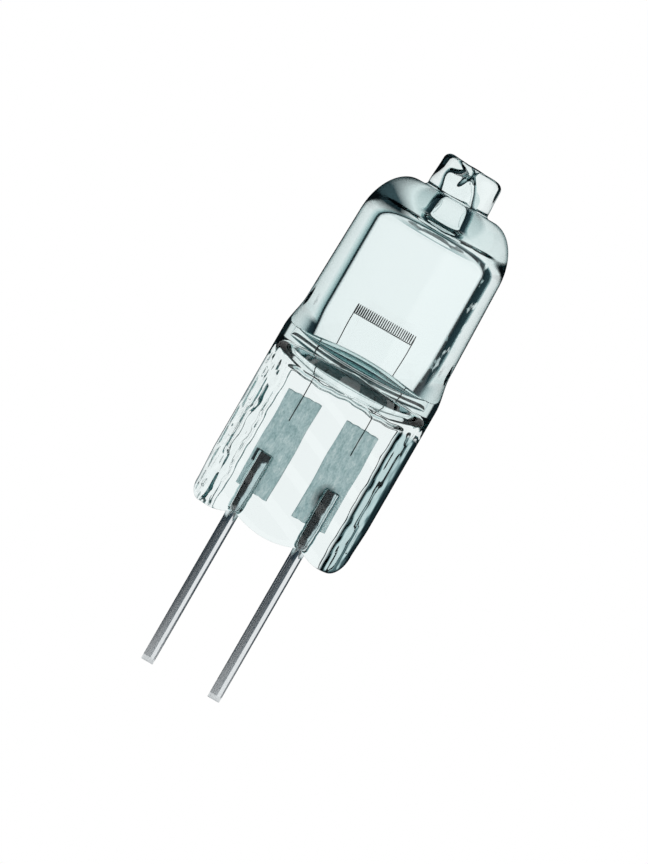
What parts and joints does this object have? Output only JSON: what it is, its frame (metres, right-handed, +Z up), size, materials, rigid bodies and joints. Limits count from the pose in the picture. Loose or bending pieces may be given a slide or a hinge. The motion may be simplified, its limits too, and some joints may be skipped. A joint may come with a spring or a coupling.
{
  "type": "halogen capsule bulb",
  "caption": "Two-pin halogen capsule bulb of clear quartz with a pinched seal, transverse coiled filament and sealed foils.",
  "frame": {"origin": "on the lamp's axis, in the plane of the pin ends", "axes": "+Z up the lamp from the pin ends to the exhaust stub, X across the broad face of the pinch seal, Y through its thickness; the picture looks along +Y"},
  "size_m": [0.0092, 0.0086, 0.0309],
  "materials": {
    "quartz_glass": "clear, fire polished",
    "molybdenum_foil": "matt, finely rippled",
    "molybdenum_pin": "drawn wire, satin",
    "tungsten_wire": "dark grey wire"
  },
  "bodies": {
    "root": {"envelope": "quartz_glass", "foil_left": "molybdenum_foil", "foil_right": "molybdenum_foil", "pin_left": "molybdenum_pin", "pin_right": "molybdenum_pin", "filament": "tungsten_wire"}
  },
  "joints": []
}
